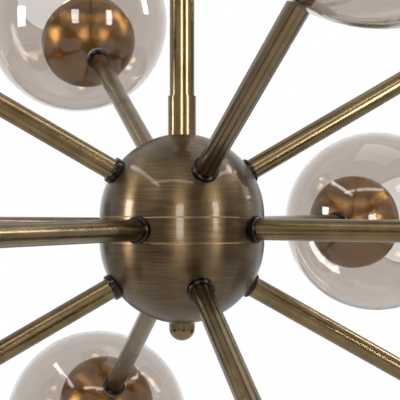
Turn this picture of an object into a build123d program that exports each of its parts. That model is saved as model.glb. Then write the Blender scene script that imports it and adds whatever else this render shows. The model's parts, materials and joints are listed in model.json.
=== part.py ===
from build123d import *
from math import cos, radians, sin, sqrt
import os

# Sputnik chandelier: a two-domed hub hangs on a rigid stem below a ceiling canopy, and carries
# twelve arms in three rings of four. Each arm ends in a lamp holder inside a blown glass globe
# that is clamped at its inner pole and open at its outer end.
#
# Millimetres. Origin on the ceiling plane at the stem's axis, +Z up. The lower ring's arms run
# along X and Y, the middle ring stands half-way between them, and the upper ring sits a little
# round from the lower one.

# ---- clearances ------------------------------------------------------------------------------
thread_gap = 0.1          # screwed pieces, each side
running_gap = 0.05        # pieces that turn in each other, each side
face_gap = 0.3            # faces of pieces that turn or slide past each other
overcut = 1.0             # how far a cutting tool reaches past what it cuts

# ---- hub -------------------------------------------------------------------------------------
hub_diameter = 100.0
hub_band_height = 15.0
dome_wall = 1.2
band_wall = 3.2
seam_round = 0.5          # rounding of the edges that meet at a seam
spigot_length = 3.0       # how far the band reaches into each dome

# ---- arms ------------------------------------------------------------------------------------
arms_per_ring = 4
arm_diameter = 12.7
arm_length = 183.0
ring_slope = 29.0         # upper ring above level, lower ring below it
ring_offset = 11.0        # height over the hub's middle at which a sloping ring's axes meet
upper_ring_turn = 3.5     # the upper ring's turn against the lower one
middle_ring_turn = 45.0

# ---- screwed fittings ------------------------------------------------------------------------
nipple_diameter = 10.0
nipple_bore = 7.0
nipple_engagement = 10.0  # length of nipple inside an arm
nut_flats = 14.0
nut_height = 4.0
nipple_past_nut = 1.0     # nipple that stands proud of a lock nut inside the hub
collar_diameter = 16.2
collar_bead = 3.2         # length of the collar's bead on the hub
collar_floor = 1.0        # web between the arm's end and what it seats on
tip_collar_diameter = 16.6
tip_collar_bead = 3.4
collar_round = 1.3

# ---- globe, cup and lamp ---------------------------------------------------------------------
gasket_diameter = 15.0
gasket_thickness = 1.0
globe_diameter = 145.0
globe_axial_radius = 79.0
globe_wall = 1.8
globe_seat_radius = 8.2   # ground flat round the hole at the inner pole
globe_mouth_radius = 39.0
lip_round_share = 0.42    # rounding of the mouth's edge, as a share of the wall
cup_diameter = 71.4
cup_dome_excess = 2.3     # how much larger the dome's radius is than the cup's own
cup_dome_radius = cup_diameter / 2 + cup_dome_excess
cup_wall = 1.2
cup_seat_radius = 8.5
cup_skirt = 10.5
socket_diameter = 25.0
socket_length = 26.0
socket_floor = 4.0
socket_round = 1.0
bulb_base_diameter = 12.0
bulb_base_length = 18.0
bulb_diameter = 34.0
bulb_glass_length = 80.0
bulb_neck_radius = 7.4
bulb_widest = 28.8        # height of the widest place above the neck
bulb_foot_flare = 0.35    # sideways run for each unit of height, where the glass leaves the neck
bulb_tip_taper = 0.55     # the same at the tip
bulb_wall = 0.9
bulb_vent_radius = 1.0

# ---- stem ------------------------------------------------------------------------------------
stem_diameter = 15.0
stem_wall = 1.3
stem_length = 305.0
coupling_diameter = 17.0
coupling_length = 23.0
coupling_socket = 12.0    # depth that the stem goes into the coupling

# ---- finial ----------------------------------------------------------------------------------
finial_diameter = 15.8
finial_shoulder = 2.7
finial_thread = 5.5

# ---- hang-straight swivel --------------------------------------------------------------------
swivel_diameter = 19.0
swivel_top = 20.0         # depth of the fork's top under the ceiling
pivot_depth = 50.0        # depth of the tilt pin under the ceiling
pin_diameter = 5.0
tongue_thickness = 8.0
tongue_width = 14.0
shoulder_depth = 10.6     # from the tilt pin down to the stem plug's shoulder
plug_flange = 1.5
plug_spigot = 10.0
fork_headroom = 1.0       # over the tongue's round head, inside the fork

# ---- canopy and ceiling bracket --------------------------------------------------------------
canopy_diameter = 130.0
canopy_height = 26.0
canopy_wall = 1.2
canopy_round = 14.0
canopy_rim_gap = 0.5      # between the canopy's rim and the ceiling
ring_nut_diameter = 30.0
ring_nut_height = 7.0
ring_nut_flutes = 24
flute_radius = 0.9
flute_setback = 0.3       # a flute's axis outside the nut's edge
ring_nut_chamfer = 0.8
bracket_length = 116.0
bracket_width = 20.0
bracket_thickness = 2.5
bracket_corner = 6.0
slot_spacing = 82.0       # middle to middle of the two screw slots
slot_length = 22.0
slot_width = 5.2

# ---- places that follow from the sizes -------------------------------------------------------
hub_radius = hub_diameter / 2
dome_centre = hub_band_height / 2
pivot_z = -pivot_depth
stem_top = pivot_z - shoulder_depth - plug_flange
stem_bottom = stem_top - stem_length
coupling_bottom = stem_bottom - (coupling_length - coupling_socket)
hub_z = coupling_bottom - hub_radius - dome_centre
nut_corner = nut_flats / 2 / cos(radians(30))
nipple_hole = nipple_diameter / 2 + thread_gap
fork_roof = pivot_z + tongue_width / 2 + fork_headroom

rings = {
    "upper": (ring_slope, ring_offset, upper_ring_turn),
    "middle": (0.0, 0.0, middle_ring_turn),
    "lower": (-ring_slope, -ring_offset, 0.0),
}
wall_behind = {"upper": dome_wall, "middle": band_wall, "lower": dome_wall}


def export(name, *solids):
    """Write one node from one solid or from a group of separate solids."""
    shape = solids[0] if len(solids) == 1 else Compound(list(solids))
    shape.label = name
    export_step(shape, f"parts/{name}.step")


def rod(radius, low, high):
    """A cylinder on the Z axis between two heights."""
    return Pos(0, 0, (low + high) / 2) * Cylinder(radius, high - low)


def bore(radius, low, high):
    """What cuts a round hole on the Z axis right through, a little past both ends."""
    return rod(radius, low - overcut, high + overcut)


def tube(outer, inner, low, high):
    """A tube on the Z axis between two heights."""
    return rod(outer, low, high) - bore(inner, low, high)


def turned(*edges):
    """The solid that a closed outline in the XZ plane sweeps round the Z axis."""
    return revolve(make_face(Wire(list(edges))), Axis.Z)


def lock_nut(low):
    """A hexagonal nut standing on the height low."""
    blank = extrude(RegularPolygon(nut_flats / 2, 6, major_radius=False), nut_height)
    blank -= bore(nipple_hole, 0, nut_height)
    return Pos(0, 0, low) * blank


def hub_body(radius):
    """The hub's whole outer form: two half balls with a cylinder between them."""
    body = rod(radius, -dome_centre, dome_centre)
    for side in (1, -1):
        body += Pos(0, 0, side * dome_centre) * Sphere(radius)
    return body


def dome_drop(radius):
    """How far a dome's surface falls away from its crown at a radius from the Z axis."""
    return hub_radius - sqrt(hub_radius**2 - radius**2)


def ring_seat(slope, offset, reach, radius):
    """Distance along an arm's axis at which a circle round that axis meets a ball of the hub."""
    if slope == 0:
        return sqrt(reach**2 - radius**2)
    above = abs(offset) - dome_centre
    along = above * sin(radians(abs(slope)))
    across = above * cos(radians(slope)) + radius
    return sqrt(reach**2 - across**2) - along


def arm_places():
    """Each arm's ring, number and place: local Z runs outward along the arm."""
    for ring, (slope, offset, turn) in rings.items():
        for number in range(arms_per_ring):
            heading = radians(turn + number * 360 / arms_per_ring - 90)
            level = cos(radians(slope))
            outward = (level * cos(heading), level * sin(heading), sin(radians(slope)))
            sideways = (-sin(heading), cos(heading), 0)
            place = Plane((0, 0, hub_z + offset), x_dir=sideways, z_dir=outward).location
            yield ring, number + 1, place


def make_arm(start):
    """A plain tube, its two ends tapped for nipples."""
    end = start + arm_length
    return tube(arm_diameter / 2, nipple_hole, start, end)


def make_hub_collar(seat, start):
    """A round bead that covers the joint of arm and hub; its foot is cut to the hub later."""
    foot = seat - collar_bead
    top = seat + collar_bead
    collar = rod(collar_diameter / 2, foot, top)
    collar = fillet(collar.edges().group_by(Axis.Z)[-1], collar_round)
    collar -= rod(arm_diameter / 2, start, top + overcut)
    return collar - bore(nipple_hole, foot, start)


def make_tip_collar(end):
    """The like bead at the outer end of an arm."""
    top = end + collar_floor
    foot = top - tip_collar_bead
    collar = rod(tip_collar_diameter / 2, foot, top)
    collar = fillet(collar.edges().filter_by(GeomType.CIRCLE), collar_round)
    collar -= rod(arm_diameter / 2, foot - overcut, end)
    return collar - bore(nipple_hole, end, top)


def make_nipple(low, high):
    """A threaded tube that the lamp wires pass through."""
    return tube(nipple_diameter / 2, nipple_bore / 2, low, high)


def make_gasket(low):
    """A soft washer between glass and metal."""
    return tube(gasket_diameter / 2, nipple_hole, low, low + gasket_thickness)


def make_globe(seat):
    """Blown glass, slightly longer than round: a ground seat with a hole, and an open mouth."""
    radius = globe_diameter / 2
    drop = globe_axial_radius * sqrt(1 - (globe_seat_radius / radius) ** 2)
    mouth = globe_axial_radius * sqrt(1 - (globe_mouth_radius / radius) ** 2)
    section = Ellipse(radius, globe_axial_radius)
    section -= Ellipse(radius - globe_wall, globe_axial_radius - globe_wall)
    section += Pos(0, -drop + globe_wall / 2) * Rectangle(2 * globe_seat_radius, globe_wall)
    keep = Pos(nipple_hole + radius, (mouth - drop) / 2) * Rectangle(2 * radius, mouth + drop)
    section = section & keep
    lip = section.vertices().group_by(Axis.Y)[-1]
    section = fillet(lip, globe_wall * lip_round_share)
    globe = revolve(Plane.XZ * section, Axis.Z)
    return Pos(0, 0, seat + drop) * globe


def make_cup(seat):
    """A spun cup: flat seat, shallow dome and a short straight skirt."""
    outer = cup_dome_radius
    inner = outer - cup_wall
    centre = seat + sqrt(outer**2 - cup_seat_radius**2)
    rim = centre - sqrt(outer**2 - (cup_diameter / 2) ** 2)
    skirt = tube(cup_diameter / 2, cup_diameter / 2 - cup_wall, rim, rim + cup_skirt)
    shell = Pos(0, 0, centre) * (Sphere(outer) - Sphere(inner))
    shell = shell & rod(outer + overcut, seat, rim)
    floor = rod(cup_seat_radius, seat, seat + cup_wall)
    return (shell + floor + skirt) - bore(nipple_hole, seat, seat + cup_wall)


def make_socket(seat):
    """A candle lamp holder that screws on the end of the nipple."""
    body = rod(socket_diameter / 2, seat, seat + socket_length)
    mouth = seat + socket_length
    body = fillet(body.edges().filter_by(GeomType.CIRCLE), socket_round)
    body -= bore(nipple_hole, seat, seat + socket_floor)
    throat_radius = bulb_base_diameter / 2 + running_gap
    return body - rod(throat_radius, seat + socket_floor, mouth + overcut)


def make_bulb(mouth):
    """A candle bulb: screw base, and a hollow glass envelope drawn to a tip."""
    base_radius = bulb_base_diameter / 2
    low = mouth - bulb_base_length
    neck = mouth + face_gap
    top = neck + bulb_glass_length
    widest = neck + bulb_widest

    def envelope(inset):
        foot = (bulb_neck_radius - inset, 0, neck + inset)
        side = (bulb_diameter / 2 - inset, 0, widest)
        point = (0, 0, top - inset)
        belly = Spline([foot, side], tangents=[(bulb_foot_flare, 0, 1), (0, 0, 1)])
        taper = Spline([side, point], tangents=[(0, 0, 1), (-bulb_tip_taper, 0, 1)])
        closing = Polyline([point, (0, 0, neck + inset), foot])
        return turned(belly, taper, *closing.edges())

    bulb = envelope(0) - envelope(bulb_wall)
    bulb += rod(base_radius, low, neck)
    return bulb - bore(bulb_vent_radius, low, neck + bulb_wall)


def make_hub_dome(side):
    """A spun half ball, holed at its crown for the centre tube."""
    wide = 2 * (hub_radius + overcut)
    shell = Sphere(hub_radius) - Sphere(hub_radius - dome_wall)
    half = Pos(0, 0, wide / 2) * Box(wide, wide, wide)
    dome = shell & half
    rim = dome.edges().group_by(Axis.Z)[0].sort_by(SortBy.LENGTH)[-1]
    dome = fillet(rim, seam_round)
    dome -= rod(nipple_hole, 0, hub_radius + overcut)
    if side < 0:
        dome = mirror(dome, Plane.XY)
    return Pos(0, 0, hub_z + side * dome_centre) * dome


def make_hub_band():
    """The belt between the domes, with a thin spigot that centres each of them."""
    belt = tube(hub_radius, hub_radius - band_wall, -dome_centre, dome_centre)
    outer = belt.edges().filter_by(GeomType.CIRCLE).sort_by(SortBy.LENGTH)[-2:]
    belt = fillet(outer, seam_round)
    reach = dome_centre + spigot_length
    belt += tube(hub_radius - dome_wall - thread_gap, hub_radius - band_wall, -reach, reach)
    return Pos(0, 0, hub_z) * belt


def hub_holes():
    """What the twelve arm nipples pass through, as one cutter."""
    hole = rod(nipple_hole, hub_radius / 2, hub_radius + overcut)
    return [place * hole for _, _, place in arm_places()]


def make_coupling():
    """A sleeve between the stem and the centre tube, its foot hollowed to the upper dome."""
    radius = coupling_diameter / 2
    foot = coupling_bottom - dome_drop(radius) - overcut
    top = coupling_bottom + coupling_length
    sleeve = rod(radius, foot, top)
    sleeve -= rod(stem_diameter / 2, stem_bottom, top + overcut)
    sleeve -= bore(nipple_hole, foot, stem_bottom)
    return sleeve - Pos(0, 0, hub_z + dome_centre) * Sphere(hub_radius)


def make_centre_tube():
    """The threaded tube that pulls the domes together, from the coupling to the finial."""
    low = hub_z - dome_centre - hub_radius - finial_thread
    return make_nipple(low, stem_bottom - face_gap)


def make_finial():
    """A turned knob whose top is hollowed to the lower dome."""
    radius = finial_diameter / 2
    crown = hub_z - dome_centre - hub_radius
    top = crown + dome_drop(radius) + overcut
    knob = rod(radius, crown - finial_shoulder, top)
    knob += Pos(0, 0, crown - finial_shoulder) * Sphere(radius)
    knob -= Pos(0, 0, hub_z - dome_centre) * Sphere(hub_radius + face_gap)
    depth = crown - finial_thread - face_gap
    return knob - rod(nipple_diameter / 2 + running_gap, depth, top + overcut)


def make_stem():
    """The rigid tube that the hub hangs on."""
    return tube(stem_diameter / 2, stem_diameter / 2 - stem_wall, stem_bottom, stem_top)


def make_stem_plug():
    """The stem's top end: a spigot inside the tube, and a round-headed tongue for the pin."""
    flange_top = stem_top + plug_flange
    plug = rod(stem_diameter / 2, stem_top, flange_top)
    plug += rod(stem_diameter / 2 - stem_wall, stem_top - plug_spigot, stem_top)
    neck_height = pivot_z - flange_top
    neck = Box(tongue_width, tongue_thickness, neck_height)
    plug += Pos(0, 0, pivot_z - neck_height / 2) * neck
    head = Rot(90, 0, 0) * Cylinder(tongue_width / 2, tongue_thickness)
    plug += Pos(0, 0, pivot_z) * head
    pin_hole = Rot(90, 0, 0) * Cylinder(pin_diameter / 2 + running_gap, swivel_diameter)
    return plug - Pos(0, 0, pivot_z) * pin_hole


def make_swivel_fork():
    """The fork turns on the bracket's nipple; a wall on its -X side stops the stem at plumb."""
    radius = swivel_diameter / 2
    fork = rod(radius, pivot_z - radius, -swivel_top)
    through = swivel_diameter + 2 * overcut
    upper = rod(radius + overcut, pivot_z, -swivel_top + overcut)
    foot = Pos(0, 0, pivot_z) * Rot(90, 0, 0) * Cylinder(radius, through)
    fork = fork & (upper + foot)
    slot_low = pivot_z - radius - overcut
    slot_back = -tongue_width / 2 - face_gap
    slot = Box(2 * radius, tongue_thickness + 2 * face_gap, fork_roof - slot_low)
    fork -= Pos(slot_back + radius, 0, (fork_roof + slot_low) / 2) * slot
    fork -= bore(nipple_diameter / 2 + running_gap, fork_roof, -swivel_top)
    pin_hole = Rot(90, 0, 0) * Cylinder(pin_diameter / 2, through)
    return fork - Pos(0, 0, pivot_z) * pin_hole


def make_swivel_pin():
    """The cross pin that the stem tilts on, its ends flush with the fork."""
    pin = Rot(90, 0, 0) * Cylinder(pin_diameter / 2, swivel_diameter)
    trim = rod(swivel_diameter / 2, pivot_z - pin_diameter, pivot_z + pin_diameter)
    return Pos(0, 0, pivot_z) * pin & trim


def make_canopy():
    """A spun pan that hides the ceiling box; it slides down round the fork and the stem."""
    radius = canopy_diameter / 2
    pan = rod(radius, -canopy_height, -canopy_rim_gap)
    pan = fillet(pan.edges().group_by(Axis.Z)[0], canopy_round)
    hollow = rod(radius - canopy_wall, canopy_wall - canopy_height, overcut)
    hollow = fillet(hollow.edges().group_by(Axis.Z)[0], canopy_round - canopy_wall)
    pan -= hollow
    return pan - bore(swivel_diameter / 2 + face_gap, -canopy_height, 0)


def make_canopy_ring():
    """The fluted ring nut that holds the canopy up, screwed on the outside of the fork."""
    top = -canopy_height - running_gap
    radius = ring_nut_diameter / 2
    low = top - ring_nut_height
    ring = rod(radius, low, top)
    ring = chamfer(ring.edges().filter_by(GeomType.CIRCLE), ring_nut_chamfer)
    ring -= PolarLocations(radius + flute_setback, ring_nut_flutes) * bore(flute_radius, low, top)
    return ring - bore(swivel_diameter / 2 + running_gap, low, top)


def make_bracket():
    """The crossbar that is screwed to the ceiling box through two slots."""
    bar = Pos(0, 0, -bracket_thickness / 2) * Box(bracket_length, bracket_width, bracket_thickness)
    bar = fillet(bar.edges().filter_by(Axis.Z), bracket_corner)
    slot = extrude(SlotOverall(slot_length, slot_width), bracket_thickness + 2 * overcut)
    for side in (-1, 1):
        bar -= Pos(side * slot_spacing / 2, 0, -bracket_thickness - overcut) * slot
    return bar - bore(nipple_hole, -bracket_thickness, 0)


def build():
    os.makedirs("parts", exist_ok=True)

    nipples = []
    lock_nuts = []
    hub_collars = []
    tip_collars = []
    gaskets = []
    sockets = []
    cups = {ring: [] for ring in rings}
    outer_form = Pos(0, 0, hub_z) * hub_body(hub_radius)

    for ring, number, place in arm_places():
        slope, offset, _ = rings[ring]
        reach = hub_radius - wall_behind[ring] - running_gap
        seat = ring_seat(slope, offset, hub_radius, 0)
        start = seat + collar_floor
        end = start + arm_length
        globe_seat = end + collar_floor + gasket_thickness
        cup_seat = globe_seat + globe_wall + gasket_thickness
        nut_seat = cup_seat + cup_wall
        socket_seat = nut_seat + nut_height
        socket_mouth = socket_seat + socket_length
        inner_nut = ring_seat(slope, offset, reach, nut_corner) - nut_height

        export(f"arm_{ring}_{number}", place * make_arm(start))
        export(f"globe_{ring}_{number}", place * make_globe(globe_seat))
        export(f"bulb_{ring}_{number}", place * make_bulb(socket_mouth))
        cups[ring].append(place * make_cup(cup_seat))
        hub_collars.append(place * make_hub_collar(seat, start) - outer_form)
        tip_collars.append(place * make_tip_collar(end))
        nipples.append(place * make_nipple(inner_nut - nipple_past_nut, start + nipple_engagement))
        tip_end = socket_seat + socket_floor - face_gap
        nipples.append(place * make_nipple(end - nipple_engagement, tip_end))
        lock_nuts.append(place * lock_nut(inner_nut))
        lock_nuts.append(place * lock_nut(nut_seat))
        gaskets.append(place * make_gasket(end + collar_floor))
        gaskets.append(place * make_gasket(globe_seat + globe_wall))
        sockets.append(place * make_socket(socket_seat))

    # The centre tube's two nuts bear on the domes from inside.
    nut_reach = sqrt((hub_radius - dome_wall - running_gap) ** 2 - nut_corner**2) + dome_centre
    lock_nuts.append(lock_nut(hub_z + nut_reach - nut_height))
    lock_nuts.append(lock_nut(hub_z - nut_reach))

    for ring, group in cups.items():
        export(f"cups_{ring}", *group)
    export("hub_collars", *hub_collars)
    export("tip_collars", *tip_collars)
    export("arm_nipples", *nipples)
    export("lock_nuts", *lock_nuts)
    export("globe_gaskets", *gaskets)
    export("lamp_sockets", *sockets)

    holes = hub_holes()
    export("hub_upper_dome", make_hub_dome(1) - holes)
    export("hub_lower_dome", make_hub_dome(-1) - holes)
    export("hub_band", make_hub_band() - holes)
    export("centre_tube", make_centre_tube())
    export("finial", make_finial())
    export("stem_coupling", make_coupling())
    export("stem", make_stem())
    export("stem_plug", make_stem_plug())
    export("swivel_fork", make_swivel_fork())
    export("swivel_pin", make_swivel_pin())
    export("canopy", make_canopy())
    export("canopy_ring", make_canopy_ring())
    export("mounting_bracket", make_bracket())
    export("bracket_nipple", make_nipple(fork_roof + face_gap, 0))
    export("bracket_nut", lock_nut(-bracket_thickness - nut_height))


build()
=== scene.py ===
import json
import math

import bmesh
import bpy
from mathutils import Matrix, Vector


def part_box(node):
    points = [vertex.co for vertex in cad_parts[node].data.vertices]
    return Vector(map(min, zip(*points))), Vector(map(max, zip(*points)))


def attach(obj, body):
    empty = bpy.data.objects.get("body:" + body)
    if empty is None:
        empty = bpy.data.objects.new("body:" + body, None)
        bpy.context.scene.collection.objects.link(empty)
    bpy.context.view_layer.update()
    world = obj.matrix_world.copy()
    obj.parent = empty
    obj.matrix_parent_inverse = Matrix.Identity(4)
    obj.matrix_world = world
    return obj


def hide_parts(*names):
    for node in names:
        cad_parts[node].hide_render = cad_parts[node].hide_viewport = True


# Sputnik chandelier, dressed in brass and smoked glass. Metres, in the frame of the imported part:
# the origin is on the ceiling plane at the stem's axis, and the lamp hangs towards -Z.

bl_info = {
    "name": "Sputnik chandelier",
    "version": (1, 0, 0),
    "blender": (4, 5, 0),
    "location": "View3D > Sidebar > Chandelier",
    "description": "Dresses the packed chandelier in its finishes and sets up a studio round it",
    "category": "Object",
}

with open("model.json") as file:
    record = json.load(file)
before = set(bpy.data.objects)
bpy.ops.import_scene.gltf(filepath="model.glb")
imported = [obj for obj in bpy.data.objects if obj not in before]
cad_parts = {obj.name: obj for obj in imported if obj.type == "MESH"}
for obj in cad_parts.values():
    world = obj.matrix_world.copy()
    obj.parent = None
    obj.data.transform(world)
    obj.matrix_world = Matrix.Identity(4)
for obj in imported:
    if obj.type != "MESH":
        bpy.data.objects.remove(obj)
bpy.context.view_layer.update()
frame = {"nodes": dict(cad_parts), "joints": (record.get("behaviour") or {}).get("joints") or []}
nodes = frame["nodes"]
turns = {joint["child"]: joint for joint in frame["joints"]}
rings = ("upper", "middle", "lower")
arms = [(ring, number) for ring in rings for number in (1, 2, 3, 4)]

MM = 0.001
LATHE_STEPS = 72
FILAMENT_STEPS = 12
LACQUER = {"Coat_Roughness": 0.05, "Coat_IOR": 1.5}

band_low, band_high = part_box("hub_band")
hub_centre = (band_low + band_high) / 2
hub_radius = (band_high.x - band_low.x) / 2
seam_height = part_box("hub_upper_dome")[0].z - hub_centre.z


# ---- shader maths ----------------------------------------------------------------------------


class Signal:
    """One socket of a shader, on which Python's operators add Math nodes."""

    def __init__(self, finish, socket):
        self.finish = finish
        self.socket = socket

    def math(self, operation, *values):
        return self.finish.node("ShaderNodeMath", {"operation": operation}, dict(enumerate(values)))

    def __add__(self, other):
        return self.math("ADD", self, other)

    def __radd__(self, other):
        return self.math("ADD", other, self)

    def __sub__(self, other):
        return self.math("SUBTRACT", self, other)

    def __rsub__(self, other):
        return self.math("SUBTRACT", other, self)

    def __mul__(self, other):
        return self.math("MULTIPLY", self, other)

    def __rmul__(self, other):
        return self.math("MULTIPLY", other, self)

    def __pow__(self, other):
        return self.math("POWER", self, other)


class Finish:
    """A procedural material, written as expressions on its sockets."""

    def __init__(self, name, tree=None):
        self.material = None
        if tree is None:
            self.material = bpy.data.materials.new(name)
            self.material.use_nodes = True
            tree = self.material.node_tree
        self.tree = tree
        self.tree.nodes.clear()

    def node(self, kind, settings=None, values=None, output=0):
        """Adds a node: its settings first, then a value or a link for each socket named."""
        made = self.tree.nodes.new(kind)
        for key, setting in (settings or {}).items():
            setattr(made, key, setting)
        for key, value in (values or {}).items():
            if isinstance(value, Signal):
                self.tree.links.new(value.socket, made.inputs[key])
            else:
                made.inputs[key].default_value = value
        return Signal(self, made.outputs[output]) if len(made.outputs) else None

    def blend(self, factor, first, second):
        """Mixes two colours. The node's sockets for colours are its inputs 6 and 7, output 2."""
        values = {0: factor, 6: first, 7: second}
        return self.node("ShaderNodeMix", {"data_type": "RGBA"}, values, output=2)

    def tint(self, tone, colour, darkest, lightest):
        """The colour times darkest where the tone is 0, and times lightest where it is 1."""
        return self.blend(tone, shade(colour, darkest), shade(colour, lightest))

    def place(self):
        """The point on the surface, in metres in the part's frame."""
        return self.node("ShaderNodeTexCoord", output="Object")

    def split(self, vector):
        """A vector's three numbers."""
        made = self.node("ShaderNodeSeparateXYZ", None, {0: vector})
        outputs = made.socket.node.outputs
        return [Signal(self, outputs[axis]) for axis in range(3)]

    def join(self, x, y, z):
        return self.node("ShaderNodeCombineXYZ", None, {0: x, 1: y, 2: z})

    def noise(self, vector, scale, detail=2.0, roughness=0.5):
        values = {"Vector": vector, "Scale": scale, "Detail": detail, "Roughness": roughness}
        return self.node("ShaderNodeTexNoise", None, values, output="Fac")

    def bump(self, height, strength, distance):
        values = {"Height": height, "Strength": strength, "Distance": distance}
        return self.node("ShaderNodeBump", None, values)

    def ramp(self, factor, low, high):
        """From 0 at low to 1 at high in a straight line, level beyond. High may be under low."""
        values = {"Value": factor, "From Min": low, "From Max": high}
        return self.node("ShaderNodeMapRange", None, values)

    def surface(self, **sockets):
        """Ends the material in one shader. A socket's name has _ for each space."""
        values = {name.replace("_", " "): value for name, value in sockets.items()}
        shader = self.node("ShaderNodeBsdfPrincipled", None, values)
        self.node("ShaderNodeOutputMaterial", None, {"Surface": shader})
        return self.material


def shade(colour, factor):
    """A colour made lighter or darker, opaque."""
    return (*(channel * factor for channel in colour[:3]), 1.0)


# ---- finishes --------------------------------------------------------------------------------


def brushed_brass(name, colour, centre, grain=1500.0, seam_highlight_height=None):
    """Antique brass brushed round the Z axis: fine rings of scratches under clear lacquer.

    The grain is in cells of noise to the metre, along a meridian of the hub's radius. Where a seam
    height is given, thin bands that far above and below the centre carry a painted highlight.
    """
    scratch_turn, streak_turn = 1.6, 2.2    # cells of noise to a radian round the axis
    streak_grain = 0.3                      # share of the scratches' grain
    streak_layer = 4.0                      # keeps the streaks apart from the scratches
    # Painted highlight along the seams: the distance from a seam where it fades out and where it is
    # full, how strongly it shows, and how many times lighter it is
    seam_highlight_end, seam_highlight_start = 0.6 * MM, 0.3 * MM
    seam_highlight_share, seam_highlight_lift = 0.7, 5.0
    finish = Finish(name)
    x, y, z = finish.split(finish.place())
    x = x - centre.x
    y = y - centre.y
    z = z - centre.z
    out = (x * x + y * y) ** 0.5
    around = y.math("ARCTAN2", y, x)
    along = z.math("ARCTAN2", z, out) * hub_radius
    lines = finish.join(around * scratch_turn, along * grain, 0.0)
    scratches = finish.noise(lines, scale=1.0, detail=3.0, roughness=0.7)
    bands = finish.join(around * streak_turn, along * grain * streak_grain, streak_layer)
    streaks = finish.noise(bands, scale=1.0, detail=2.0)
    clouds = finish.noise(finish.place(), scale=38.0, detail=3.0)
    mottle = scratches * 0.45 + streaks * 0.3 + clouds * 0.25
    tone = finish.ramp(mottle, low=0.38, high=0.62)
    base = finish.tint(tone, colour, darkest=0.62, lightest=1.4)
    # Painted highlight: thin bands along the seams get the colour five times lighter
    if seam_highlight_height:
        off_edge = z.math("ABSOLUTE", z.math("ABSOLUTE", z) - seam_highlight_height)
        seam_highlight = finish.ramp(off_edge, low=seam_highlight_end, high=seam_highlight_start)
        base = finish.blend(seam_highlight * seam_highlight_share, base, shade(colour, seam_highlight_lift))
    return finish.surface(
        Base_Color=base, Roughness=0.25 + scratches * 0.10 + clouds * 0.08, Metallic=1.0,
        Normal=finish.bump(scratches, strength=0.6, distance=0.16 * MM),
        Anisotropic=0.9, Anisotropic_Rotation=0.25, Coat_Weight=0.22, **LACQUER,
    )


def drawn_brass(name, colour, rough=0.2, coat=0.15):
    """Antique brass tube, drawn smooth: cloudy tone, faint handling marks, clear lacquer."""
    finish = Finish(name)
    where = finish.place()
    clouds = finish.noise(where, scale=55.0, detail=4.0, roughness=0.6)
    marks = finish.noise(where, scale=900.0, detail=2.0)
    tone = finish.ramp(clouds * 0.7 + marks * 0.3, low=0.36, high=0.64)
    return finish.surface(
        Base_Color=finish.tint(tone, colour, darkest=0.74, lightest=1.24),
        Roughness=rough + clouds * 0.08, Metallic=1.0,
        Normal=finish.bump(marks, strength=0.03, distance=0.02 * MM),
        Coat_Weight=coat, **LACQUER,
    )


def blown_glass(name, colour):
    """Thin smoke-tinted glass, with the slow waviness of a blown wall."""
    finish = Finish(name)
    waves = finish.noise(finish.place(), scale=16.0, detail=1.0)
    swell = finish.noise(finish.place(), scale=9.0, detail=1.0)
    thin = finish.ramp(swell, low=0.3, high=0.7)
    return finish.surface(
        Base_Color=finish.tint(thin, colour, darkest=0.97, lightest=1.0),
        Roughness=0.0, IOR=1.33, Transmission_Weight=1.0,
        Normal=finish.bump(waves, strength=0.10, distance=0.9 * MM),
    )


def lit_glass(name, colour, glow, strength):
    """The glass of a lit bulb: clear and faintly wavy, with a warm glow all over."""
    finish = Finish(name)
    waves = finish.noise(finish.place(), scale=60.0, detail=1.0)
    return finish.surface(
        Base_Color=shade(colour, 1.0), Roughness=0.0, IOR=1.45, Transmission_Weight=1.0,
        Normal=finish.bump(waves, strength=0.05, distance=0.4 * MM),
        Emission_Color=shade(glow, 1.0), Emission_Strength=strength,
    )


def hot_filament(name, colour, strength):
    """A lit filament, a little hotter in places."""
    finish = Finish(name)
    spots = finish.noise(finish.place(), scale=420.0, detail=1.0)
    heat = finish.ramp(spots, low=0.35, high=0.65)
    return finish.surface(
        Base_Color=shade(colour, 0.4), Roughness=0.6,
        Emission_Color=finish.tint(heat, colour, darkest=0.75, lightest=1.0),
        Emission_Strength=strength,
    )


def plated_steel(name, colour):
    """Zinc plate: small crystal blotches over a dull grey."""
    finish = Finish(name)
    blotches = finish.noise(finish.place(), scale=260.0, detail=4.0, roughness=0.65)
    tone = finish.ramp(blotches, low=0.35, high=0.65)
    return finish.surface(
        Base_Color=finish.tint(tone, colour, darkest=0.8, lightest=1.1),
        Roughness=0.32 + blotches * 0.16, Metallic=1.0,
        Normal=finish.bump(blotches, strength=0.1, distance=0.1 * MM),
    )


def moulded(name, colour, rough):
    """Moulded plastic or silicone with a fine eroded texture."""
    finish = Finish(name)
    texture = finish.noise(finish.place(), scale=1400.0, detail=2.0)
    clouds = finish.noise(finish.place(), scale=120.0, detail=2.0)
    return finish.surface(
        Base_Color=finish.tint(clouds, colour, darkest=0.85, lightest=1.15),
        Roughness=rough + clouds * 0.08,
        Normal=finish.bump(texture, strength=0.12, distance=0.06 * MM),
    )


# ---- mesh helpers ----------------------------------------------------------------------------


def sweep(shape, outline, place, steps):
    """Adds one outline's skin. It faces outward where the outline rises, inward where it falls."""
    circles = []
    for radius, height in outline:
        if radius == 0:
            circles.append([shape.verts.new(place @ Vector((0, 0, height)))])
            continue
        circle = []
        for step in range(steps):
            angle = 2 * math.pi * step / steps
            point = Vector((radius * math.cos(angle), radius * math.sin(angle), height))
            circle.append(shape.verts.new(place @ point))
        circles.append(circle)
    for first, second in zip(circles, circles[1:]):
        for step in range(steps):
            following = (step + 1) % steps
            corners = [first[step % len(first)], first[following % len(first)]]
            corners += [second[following % len(second)], second[step % len(second)]]
            shape.faces.new(dict.fromkeys(corners))


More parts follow.
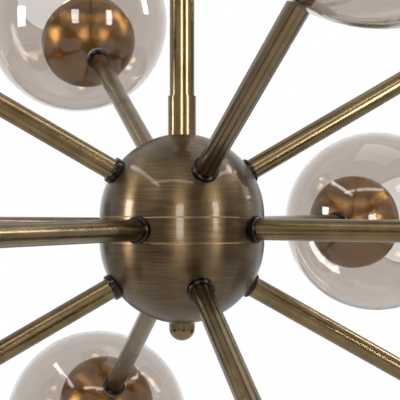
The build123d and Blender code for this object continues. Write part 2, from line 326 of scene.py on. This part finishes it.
def lathe(name, outlines, place, steps=LATHE_STEPS):
    """Sweeps outlines of (radius, height) points round the local Z axis and sets them in place."""
    shape = bmesh.new()
    for outline in outlines:
        sweep(shape, outline, place, steps)
    mesh = bpy.data.meshes.new(name)
    shape.to_mesh(mesh)
    shape.free()
    mesh.polygons.foreach_set("use_smooth", [True] * len(mesh.polygons))
    piece = bpy.data.objects.new(name, mesh)
    bpy.context.scene.collection.objects.link(piece)
    return piece


def curve_between(start, end, start_slope, end_slope, steps):
    """Points of a smooth outline; the slopes are sideways run for each unit of height."""
    rise = end[1] - start[1]
    points = []
    for step in range(steps + 1):
        t = step / steps
        near = 2 * t**3 - 3 * t**2 + 1
        leave = t**3 - 2 * t**2 + t
        arrive = t**3 - t**2
        sideways = near * start[0] + leave * rise * start_slope
        sideways += (1 - near) * end[0] + arrive * rise * end_slope
        points.append((max(sideways, 0.0), start[1] + rise * t))
    return points


def set_finish(piece, material):
    piece.data.materials.clear()
    piece.data.materials.append(material)


def lamp_place(ring, number):
    """Where an arm's bulb turns: local Z runs outward along the arm."""
    turn = turns[f"bulb_{ring}_{number}"]
    outward = Vector(turn["axis"]).normalized()
    turned = outward.to_track_quat("Z", "Y").to_matrix().to_4x4()
    return Matrix.Translation(Vector(turn["pos_m"])) @ turned


# ---- settings --------------------------------------------------------------------------------


def colour_setting(name, description, default):
    return bpy.props.FloatVectorProperty(
        name=name, description=description, default=default, subtype="COLOR", size=3,
        min=0.0, max=1.0,
    )


def length_setting(name, description, default):
    return bpy.props.FloatProperty(
        name=name, description=description, default=default, unit="LENGTH", min=0.0,
    )


class ChandelierFinishes(bpy.types.PropertyGroup):
    """Colours of the lamp's materials."""

    brass: colour_setting("Brass", "Antique brass of hub and canopy", (0.064, 0.042, 0.020))
    tube: colour_setting("Tube", "Brass of arms, stem and finial", (0.116, 0.082, 0.038))
    # Painted reflection: the beads are the hub's brass, painted near black for the dark
    # surroundings they reflect; the ring nut and swivel pin share the colour
    painted_dark: colour_setting("Dark brass", "Beads, ring nut and swivel pin", (0.016, 0.012, 0.010))
    # Partly painted light: the cups' own brass, painted warmer for the bulbs' glow on them
    cup_with_painted_glow: colour_setting("Cups", "Warmer brass of the cups", (0.235, 0.128, 0.034))
    glass: colour_setting("Glass", "Smoke tint of the globes", (0.655, 0.605, 0.565))
    bulb: colour_setting("Bulb", "Glass of the bulbs", (0.99, 0.97, 0.93))
    glow: colour_setting("Glow", "Light of the filaments", (1.0, 0.66, 0.28))
    steel: colour_setting("Steel", "Plated fittings", (0.50, 0.50, 0.48))
    holder: colour_setting("Holder", "Moulded lamp holders", (0.030, 0.028, 0.026))
    washer: colour_setting("Washer", "Silicone washers", (0.62, 0.62, 0.60))


class BulbSizes(bpy.types.PropertyGroup):
    """Sizes of a candle bulb, measured from the middle of its base."""

    base_radius: length_setting("Base radius", "Radius of the screw base", 6.0 * MM)
    neck: length_setting("Neck", "Height at which the glass starts", 9.3 * MM)
    neck_radius: length_setting("Neck radius", "Radius of the glass at the neck", 7.3 * MM)
    widest: length_setting("Widest", "Widest place above the neck", 28.8 * MM)
    belly_radius: length_setting("Belly radius", "Largest radius of the glass", 16.9 * MM)
    length: length_setting("Length", "Length of the glass", 79.5 * MM)
    wall: length_setting("Wall", "Thickness of the glass", 0.9 * MM)
    filament_radius: length_setting("Filament", "Radius of one filament", 1.0 * MM)
    filament_spread: length_setting("Spread", "Distance of a filament from the axis", 7.0 * MM)
    filament_length: length_setting("Filament length", "Length of one filament", 40.0 * MM)
    filaments: bpy.props.IntProperty(
        name="Filaments", description="Filaments in one bulb", default=4, min=1, max=8,
    )


class StudioSettings(bpy.types.PropertyGroup):
    """Camera and floor. Distances start at the hub's middle."""

    turn: bpy.props.FloatProperty(
        name="Camera turn", description="Angle of the camera from the front of the part",
        default=math.radians(-15.5), subtype="ANGLE",
    )
    distance: length_setting("Distance", "Camera to the hub's axis", 0.790)
    right: length_setting("Right", "Camera to the right of the hub's axis", 10.9 * MM)
    above: length_setting("Above", "Camera over the hub's middle", 17.3 * MM)
    lens: bpy.props.FloatProperty(
        name="Lens", description="Focal length for a 36 mm sensor", default=117.0,
        unit="CAMERA", min=10.0,
    )
    floor_drop: length_setting("Floor", "Floor below the hub", 0.75)
    floor_radius: length_setting("Floor radius", "Radius of the floor", 3.0)


# ---- operators -------------------------------------------------------------------------------


class DressHub(bpy.types.Operator):
    """Finishes the hub's domes and belt"""

    bl_idname = "chandelier.dress_hub"
    bl_label = "Hub"

    def execute(self, context):
        colours = context.scene.chandelier_finishes
        # The hub's seams carry a painted highlight
        brass = brushed_brass(
            "brushed_brass", colours.brass, hub_centre, seam_highlight_height=seam_height,
        )
        for node in ("hub_upper_dome", "hub_lower_dome", "hub_band"):
            set_finish(nodes[node], brass)
        return {"FINISHED"}


class DressArms(bpy.types.Operator):
    """Finishes the arms, the dark beads at their ends and the finial"""

    bl_idname = "chandelier.dress_arms"
    bl_label = "Arms, beads and finial"

    def execute(self, context):
        colours = context.scene.chandelier_finishes
        tube = drawn_brass("tube_brass", colours.tube)
        for ring, number in arms:
            set_finish(nodes[f"arm_{ring}_{number}"], tube)
        # The beads: brass painted near black, a painted dark reflection
        painted_dark = drawn_brass("dark_brass", colours.painted_dark, rough=0.1)
        for node in ("hub_collars", "tip_collars"):
            set_finish(nodes[node], painted_dark)
        set_finish(nodes["finial"], drawn_brass("finial_brass", colours.tube, rough=0.14))
        return {"FINISHED"}


class DressStem(bpy.types.Operator):
    """Finishes the stem, its coupling and the swivel"""

    bl_idname = "chandelier.dress_stem"
    bl_label = "Stem and swivel"

    def execute(self, context):
        colours = context.scene.chandelier_finishes
        tube = drawn_brass("stem_brass", colours.tube, rough=0.18)
        for node in ("stem", "stem_coupling", "stem_plug", "swivel_fork"):
            set_finish(nodes[node], tube)
        set_finish(nodes["swivel_pin"], drawn_brass("pin_brass", colours.painted_dark, rough=0.16))
        return {"FINISHED"}


class DressCanopy(bpy.types.Operator):
    """Finishes the canopy, its ring nut, the crossbar and the plated nipples, nuts and tube"""

    bl_idname = "chandelier.dress_canopy"
    bl_label = "Canopy and crossbar"

    def execute(self, context):
        colours = context.scene.chandelier_finishes
        brass = brushed_brass("canopy_brass", colours.brass, Vector((0, 0, 0)), grain=1100.0)
        set_finish(nodes["canopy"], brass)
        set_finish(nodes["canopy_ring"], drawn_brass("ring_brass", colours.painted_dark, rough=0.14))
        steel = plated_steel("zinc_steel", colours.steel)
        crossbar = ("mounting_bracket", "bracket_nipple", "bracket_nut")
        inner = ("arm_nipples", "lock_nuts", "centre_tube")
        for node in (*crossbar, *inner):
            set_finish(nodes[node], steel)
        return {"FINISHED"}


class DressCups(bpy.types.Operator):
    """Finishes the cups, the lamp holders and the washers"""

    bl_idname = "chandelier.dress_cups"
    bl_label = "Cups and holders"

    def execute(self, context):
        colours = context.scene.chandelier_finishes
        # The cups' colour holds a painted warm glow of the bulbs over their own brass
        cup_with_painted_glow = drawn_brass("cup_brass", colours.cup_with_painted_glow, rough=0.28, coat=0.1)
        for ring in rings:
            set_finish(nodes[f"cups_{ring}"], cup_with_painted_glow)
        holder = moulded("holder_plastic", colours.holder, rough=0.42)
        set_finish(nodes["lamp_sockets"], holder)
        set_finish(nodes["globe_gaskets"], moulded("soft_washer", colours.washer, rough=0.5))
        return {"FINISHED"}


class DressGlobes(bpy.types.Operator):
    """Finishes the twelve blown globes"""

    bl_idname = "chandelier.dress_globes"
    bl_label = "Globes"

    def execute(self, context):
        glass = blown_glass("smoke_glass", context.scene.chandelier_finishes.glass)
        for ring, number in arms:
            set_finish(nodes[f"globe_{ring}_{number}"], glass)
        return {"FINISHED"}


class MakeBulbs(bpy.types.Operator):
    """Makes twelve lit candle bulbs: glass, screw base and filaments"""

    bl_idname = "chandelier.make_bulbs"
    bl_label = "Bulbs"

    def execute(self, context):
        colours = context.scene.chandelier_finishes
        sizes = context.scene.chandelier_bulb
        glass = lit_glass("bulb_glass", colours.bulb, colours.glow, strength=2.8)
        glow = hot_filament("bulb_filament", colours.glow, strength=500.0)
        metal = plated_steel("bulb_base", colours.steel)
        for ring, number in arms:
            place = lamp_place(ring, number)
            label = f"{ring}_{number}"
            body = f"bulb_{label}"
            envelope = lathe(f"bulb_envelope_{label}", self.envelope(sizes), place)
            set_finish(envelope, glass)
            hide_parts(body)
            base = lathe(f"bulb_base_{label}", [self.screw_base(sizes)], place)
            set_finish(base, metal)
            pieces = [envelope, base]
            for filament in range(sizes.filaments):
                angle = 2 * math.pi * filament / sizes.filaments
                spread = sizes.filament_spread
                offset = Vector((spread * math.cos(angle), spread * math.sin(angle), 0))
                name = f"bulb_filament_{label}_{filament + 1}"
                beside = place @ Matrix.Translation(offset)
                rod = lathe(name, [self.filament(sizes)], beside, steps=FILAMENT_STEPS)
                set_finish(rod, glow)
                pieces.append(rod)
            for piece in pieces:
                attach(piece, body)
        return {"FINISHED"}

    @staticmethod
    def envelope(sizes):
        """Outer wall up to the tip, and inner wall back down."""
        neck_slope, tip_slope = 0.55, -0.75
        side_steps, tip_steps = 14, 22
        walls = []
        for inset in (0.0, sizes.wall):
            foot = (sizes.neck_radius - inset, sizes.neck + inset)
            side = (sizes.belly_radius - inset, sizes.neck + sizes.widest)
            tip = (0.0, sizes.neck + sizes.length - inset)
            wall = [(0.0, foot[1])] + curve_between(foot, side, neck_slope, 0.0, side_steps)
            wall += curve_between(side, tip, 0.0, tip_slope, tip_steps)[1:]
            walls.append(wall)
        outer, inner = walls
        return [outer, inner[::-1]]

    @staticmethod
    def screw_base(sizes):
        """A cap with rolled threads, closed at both ends."""
        ridges = 6
        pitch = 2.4 * MM
        foot = 1.5 * MM
        contact, groove, crest, collar = 0.6, 0.93, 0.99, 0.95      # shares of the base's radius
        low = foot - sizes.neck
        outline = [(0.0, low), (sizes.base_radius * contact, low)]
        for ridge in range(ridges):
            height = low + (ridge + 0.5) * pitch
            outline.append((sizes.base_radius * groove, height))
            outline.append((sizes.base_radius * crest, height + pitch / 2))
        outline.append((sizes.base_radius * collar, sizes.neck))
        outline.append((0.0, sizes.neck))
        return outline

    @staticmethod
    def filament(sizes):
        """A thin rod, pointed at both ends, that starts a little over the neck."""
        over_neck = 12 * MM
        low = sizes.neck + over_neck
        radius = sizes.filament_radius
        high = low + sizes.filament_length
        return [(0.0, low), (radius, low + radius), (radius, high - radius), (0.0, high)]


class SetStudio(bpy.types.Operator):
    """Sets up the floor, the soft lights, the white background and the camera"""

    bl_idname = "chandelier.set_studio"
    bl_label = "Studio"

    def execute(self, context):
        studio = context.scene.chandelier_studio
        back = Vector((math.sin(studio.turn), -math.cos(studio.turn), 0))
        right = Vector((math.cos(studio.turn), math.sin(studio.turn), 0))
        self.floor(studio)
        self.background(context)
        self.lights(back, right)
        self.camera(context, studio, back, right)
        context.scene.view_settings.view_transform = "Standard"
        return {"FINISHED"}

    @staticmethod
    def floor(studio):
        """A pale disc that fades to white at its rim, and can't be seen from below."""
        near_lift, far_lift = 0.08, 0.8     # light of its own, to the camera only
        even_radius = 1.0
        mesh = bpy.data.meshes.new("floor")
        shape = bmesh.new()
        bmesh.ops.create_circle(shape, cap_ends=True, segments=96, radius=studio.floor_radius)
        shape.to_mesh(mesh)
        shape.free()
        floor = bpy.data.objects.new("floor", mesh)
        floor.location = (0, 0, hub_centre.z - studio.floor_drop)
        bpy.context.scene.collection.objects.link(floor)
        finish = Finish("pale_floor")
        x, y, _ = finish.split(finish.place())
        speckle = finish.noise(finish.place(), scale=30.0, detail=3.0)
        base = finish.blend(speckle, (0.86, 0.86, 0.85, 1.0), (0.90, 0.90, 0.89, 1.0))
        seen = finish.node("ShaderNodeLightPath", output="Is Camera Ray")
        far = finish.ramp((x * x + y * y) ** 0.5, low=even_radius, high=studio.floor_radius)
        lift = seen * (near_lift + far * far_lift)
        paint = finish.node("ShaderNodeBsdfPrincipled", None, {
            "Base Color": base, "Roughness": 0.7, "Emission Color": finish.join(lift, lift, lift),
            "Emission Strength": 1.0,
        })
        clear = finish.node("ShaderNodeBsdfTransparent")
        under = finish.node("ShaderNodeNewGeometry", output="Backfacing")
        mixed = finish.node("ShaderNodeMixShader", None, {0: under, 1: paint, 2: clear})
        finish.node("ShaderNodeOutputMaterial", None, {"Surface": mixed})
        set_finish(floor, finish.material)

    @staticmethod
    def background(context):
        """White to the camera and in what metal and glass show, softer as a source of light."""
        ambient = 0.12
        world = bpy.data.worlds.new("studio")
        world.use_nodes = True
        context.scene.world = world
        finish = Finish("studio", world.node_tree)
        path = finish.node("ShaderNodeLightPath").socket.node.outputs
        seen = Signal(finish, path["Is Camera Ray"])
        through = Signal(finish, path["Is Transmission Ray"])
        mirrored = Signal(finish, path["Is Glossy Ray"])
        shown = seen.math("MAXIMUM", seen.math("MAXIMUM", seen, through), mirrored)
        strength = ambient + shown * (1.0 - ambient)
        values = {"Color": (1.0, 1.0, 1.0, 1.0), "Strength": strength}
        light = finish.node("ShaderNodeBackground", None, values)
        finish.node("ShaderNodeOutputWorld", None, {"Surface": light})

    @staticmethod
    def lights(back, right):
        """Boxes and long strips of soft light, all at one reach from the hub.

        Name, degrees right of the camera, degrees up, width, height, watts.
        """
        boxes = (
            ("left_box", -78.0, 8.5, 0.42, 0.72, 34.0),
            ("front_box", -2.0, 8.0, 0.36, 0.72, 18.0),
            ("right_box", 48.0, 8.5, 0.32, 0.72, 20.0),
            ("edge_box", 112.0, 30.0, 0.34, 1.20, 24.0),
            ("front_strip", -10.0, 50.0, 2.60, 0.14, 12.0),
            ("left_strip", -80.0, 48.0, 2.60, 0.14, 14.0),
            ("right_strip", 72.0, 48.0, 2.60, 0.14, 14.0),
            ("top_box", 150.0, 70.0, 1.20, 1.20, 5.0),
        )
        reach = 2.1
        for name, side, up, width, height, watts in boxes:
            lamp = bpy.data.lights.new(name, "AREA")
            lamp.shape = "RECTANGLE"
            lamp.size = width
            lamp.size_y = height
            lamp.energy = watts
            holder = bpy.data.objects.new(name, lamp)
            bpy.context.scene.collection.objects.link(holder)
            around = math.radians(side)
            climb = math.radians(up)
            level = back * math.cos(around) + right * math.sin(around)
            direction = level * math.cos(climb) + Vector((0, 0, math.sin(climb)))
            holder.location = hub_centre + direction * reach
            holder.rotation_mode = "QUATERNION"
            holder.rotation_quaternion = (-direction).to_track_quat("-Z", "Y")

    @staticmethod
    def camera(context, studio, back, right):
        lens = bpy.data.cameras.new("camera")
        lens.lens = studio.lens
        lens.sensor_width = 36.0
        lens.clip_start = 0.05
        camera = bpy.data.objects.new("camera", lens)
        context.scene.collection.objects.link(camera)
        place = hub_centre + back * studio.distance + right * studio.right
        camera.location = place + Vector((0, 0, studio.above))
        camera.rotation_mode = "QUATERNION"
        camera.rotation_quaternion = (-back).to_track_quat("-Z", "Y")
        context.scene.camera = camera


class ChandelierPanel(bpy.types.Panel):
    """The lamp's pieces, the sizes and colours that can be changed, and the studio"""

    bl_idname = "VIEW3D_PT_chandelier"
    bl_label = "Chandelier"
    bl_space_type = "VIEW_3D"
    bl_region_type = "UI"
    bl_category = "Chandelier"

    def draw(self, context):
        for operator in OPERATORS:
            self.layout.operator(operator.bl_idname)
        for group in SETTINGS:
            settings = getattr(context.scene, group)
            box = self.layout.box()
            for name in settings.bl_rna.properties.keys():
                if name not in ("rna_type", "name"):
                    box.prop(settings, name)


SETTINGS = {
    "chandelier_finishes": ChandelierFinishes,
    "chandelier_bulb": BulbSizes,
    "chandelier_studio": StudioSettings,
}
OPERATORS = (
    DressHub, DressArms, DressStem, DressCanopy, DressCups, DressGlobes, MakeBulbs, SetStudio,
)


def register():
    for group in (*SETTINGS.values(), *OPERATORS, ChandelierPanel):
        bpy.utils.register_class(group)
    for name, group in SETTINGS.items():
        setattr(bpy.types.Scene, name, bpy.props.PointerProperty(type=group))


def unregister():
    for name in SETTINGS:
        delattr(bpy.types.Scene, name)
    for group in reversed((*SETTINGS.values(), *OPERATORS, ChandelierPanel)):
        bpy.utils.unregister_class(group)


def main():
    register()
    for operator in OPERATORS:
        family, action = operator.bl_idname.split(".")
        getattr(getattr(bpy.ops, family), action)()


if __name__ == "__main__":
    main()
